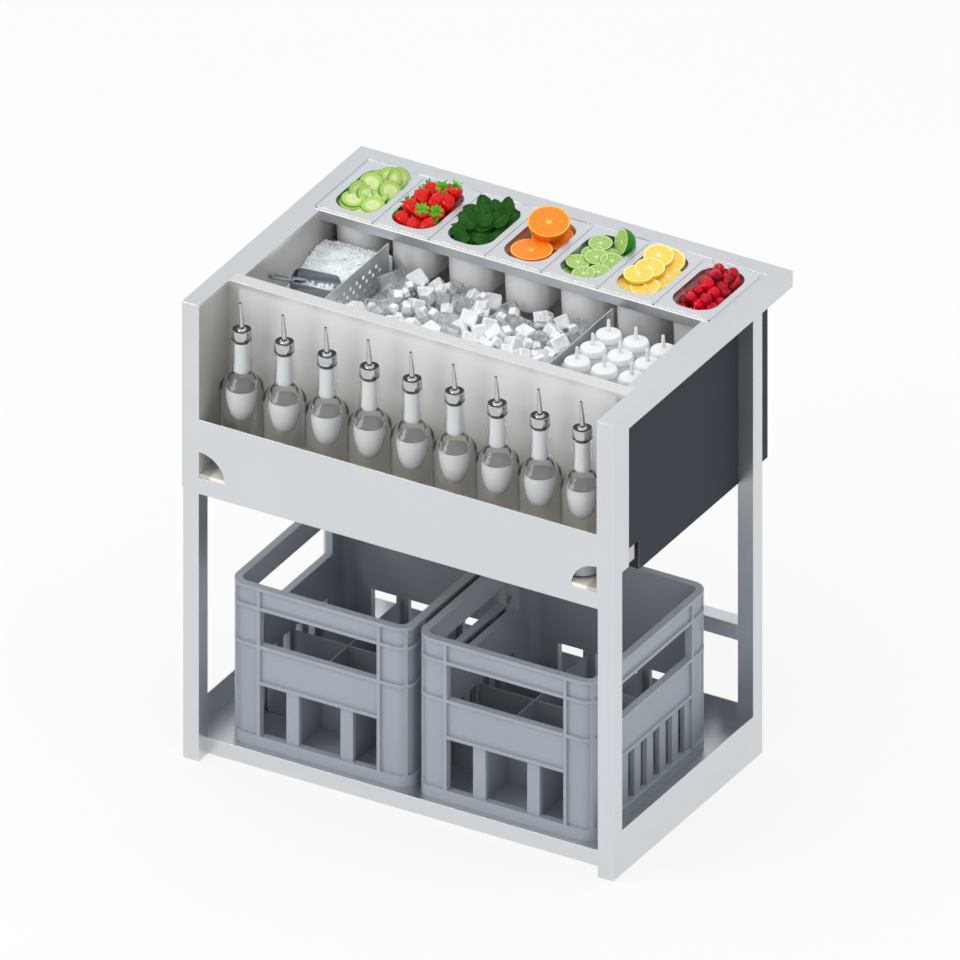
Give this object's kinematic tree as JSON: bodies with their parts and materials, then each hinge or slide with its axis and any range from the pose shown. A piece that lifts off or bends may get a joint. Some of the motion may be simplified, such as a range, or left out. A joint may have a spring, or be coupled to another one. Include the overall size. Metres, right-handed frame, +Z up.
{
  "type": "cocktail station",
  "caption": "Free-standing stainless bar station with a bottle speed rail, divided ice well, lift-out garnish pans and a low shelf of bottle crates.",
  "frame": {"origin": "on the floor, under the middle of the station's plan", "axes": "+Z up, +X to the user's right facing the speed rail, +Y towards the back"},
  "size_m": [0.838, 0.602, 0.9185],
  "materials": {
    "stainless": "satin",
    "pan_steel": "satin",
    "dark_panel": "satin",
    "foam": "matte",
    "cap_plastic": "matte",
    "crate_plastic": "satin",
    "bottle_glass": "gloss",
    "squeeze_plastic": "satin",
    "ice": "gloss",
    "cucumber": "satin",
    "strawberry": "gloss",
    "mint": "satin",
    "orange": "satin",
    "lime": "satin",
    "lemon": "satin",
    "cherry": "gloss"
  },
  "bodies": {
    "station": {"crate_shelf": "stainless", "crushed_ice": "ice", "drain_outlet": "stainless", "false_floor": "stainless", "fascia_rivets": "stainless", "front_fascia": "stainless", "ice_cubes": "ice", "ice_well_liner": "stainless", "left_floor_bar": "stainless", "left_front_leg": "stainless", "left_rear_leg": "stainless", "left_side_panel": "dark_panel", "left_top_rail": "stainless", "leg_caps": "cap_plastic", "pan_ledge_frame": "stainless", "rear_cross_rail": "stainless", "right_floor_bar": "stainless", "right_front_leg": "stainless", "right_rear_leg": "stainless", "right_side_panel": "dark_panel", "right_top_rail": "stainless", "speed_rail_trough": "stainless", "squeeze_bottles": "squeeze_plastic", "squeeze_caps": "squeeze_plastic", "well_casing": "dark_panel", "well_front_wall": "stainless", "well_insulation": "foam", "worktop": "stainless"},
    "pan_1": {"garnish_pan_1": "pan_steel", "cucumber_slices": "cucumber"},
    "pan_2": {"garnish_pan_2": "pan_steel", "strawberries": "strawberry"},
    "pan_3": {"garnish_pan_3": "pan_steel", "mint_leaves": "mint"},
    "pan_4": {"garnish_pan_4": "pan_steel", "orange_halves": "orange"},
    "pan_5": {"garnish_pan_5": "pan_steel", "lime_slices": "lime"},
    "pan_6": {"garnish_pan_6": "pan_steel", "lemon_slices": "lemon"},
    "pan_7": {"garnish_pan_7": "pan_steel", "cherries": "cherry"},
    "left_divider_plate": {"left_divider": "stainless"},
    "right_divider_plate": {"right_divider": "stainless"},
    "crate_1": {"bottle_crate_1": "crate_plastic", "crate_grid_1": "crate_plastic"},
    "crate_2": {"bottle_crate_2": "crate_plastic", "crate_grid_2": "crate_plastic"},
    "bottle_1": {"speed_bottle_1": "bottle_glass"},
    "bottle_2": {"speed_bottle_2": "bottle_glass"},
    "bottle_3": {"speed_bottle_3": "bottle_glass"},
    "bottle_4": {"speed_bottle_4": "bottle_glass"},
    "bottle_5": {"speed_bottle_5": "bottle_glass"},
    "bottle_6": {"speed_bottle_6": "bottle_glass"},
    "bottle_7": {"speed_bottle_7": "bottle_glass"},
    "bottle_8": {"speed_bottle_8": "bottle_glass"},
    "bottle_9": {"speed_bottle_9": "bottle_glass"},
    "scoop": {"ice_scoop": "stainless"}
  },
  "joints": [
    {"name": "pan_1_lift", "type": "slide", "parent": "station", "child": "pan_1", "axis": [0, 0, 1], "range_m": [0, 0.13]},
    {"name": "pan_2_lift", "type": "slide", "parent": "station", "child": "pan_2", "axis": [0, 0, 1], "range_m": [0, 0.13]},
    {"name": "pan_3_lift", "type": "slide", "parent": "station", "child": "pan_3", "axis": [0, 0, 1], "range_m": [0, 0.13]},
    {"name": "pan_4_lift", "type": "slide", "parent": "station", "child": "pan_4", "axis": [0, 0, 1], "range_m": [0, 0.13]},
    {"name": "pan_5_lift", "type": "slide", "parent": "station", "child": "pan_5", "axis": [0, 0, 1], "range_m": [0, 0.13]},
    {"name": "pan_6_lift", "type": "slide", "parent": "station", "child": "pan_6", "axis": [0, 0, 1], "range_m": [0, 0.13]},
    {"name": "pan_7_lift", "type": "slide", "parent": "station", "child": "pan_7", "axis": [0, 0, 1], "range_m": [0, 0.13]},
    {"name": "left_divider_lift", "type": "slide", "parent": "station", "child": "left_divider_plate", "axis": [0, 0, 1], "range_m": [0, 0.21]},
    {"name": "right_divider_lift", "type": "slide", "parent": "station", "child": "right_divider_plate", "axis": [0, 0, 1], "range_m": [0, 0.21]},
    {"name": "crate_1_pull", "type": "slide", "parent": "station", "child": "crate_1", "axis": [0, -1, 0], "range_m": [0, 0.4]},
    {"name": "crate_2_pull", "type": "slide", "parent": "station", "child": "crate_2", "axis": [0, -1, 0], "range_m": [0, 0.4]},
    {"name": "bottle_1_lift", "type": "slide", "parent": "station", "child": "bottle_1", "axis": [0, 0, 1], "range_m": [0, 0.3]},
    {"name": "bottle_2_lift", "type": "slide", "parent": "station", "child": "bottle_2", "axis": [0, 0, 1], "range_m": [0, 0.3]},
    {"name": "bottle_3_lift", "type": "slide", "parent": "station", "child": "bottle_3", "axis": [0, 0, 1], "range_m": [0, 0.3]},
    {"name": "bottle_4_lift", "type": "slide", "parent": "station", "child": "bottle_4", "axis": [0, 0, 1], "range_m": [0, 0.3]},
    {"name": "bottle_5_lift", "type": "slide", "parent": "station", "child": "bottle_5", "axis": [0, 0, 1], "range_m": [0, 0.3]},
    {"name": "bottle_6_lift", "type": "slide", "parent": "station", "child": "bottle_6", "axis": [0, 0, 1], "range_m": [0, 0.3]},
    {"name": "bottle_7_lift", "type": "slide", "parent": "station", "child": "bottle_7", "axis": [0, 0, 1], "range_m": [0, 0.3]},
    {"name": "bottle_8_lift", "type": "slide", "parent": "station", "child": "bottle_8", "axis": [0, 0, 1], "range_m": [0, 0.3]},
    {"name": "bottle_9_lift", "type": "slide", "parent": "station", "child": "bottle_9", "axis": [0, 0, 1], "range_m": [0, 0.3]},
    {"name": "scoop_lift", "type": "slide", "parent": "station", "child": "scoop", "axis": [0, 0, 1], "range_m": [0, 0.15]}
  ]
}
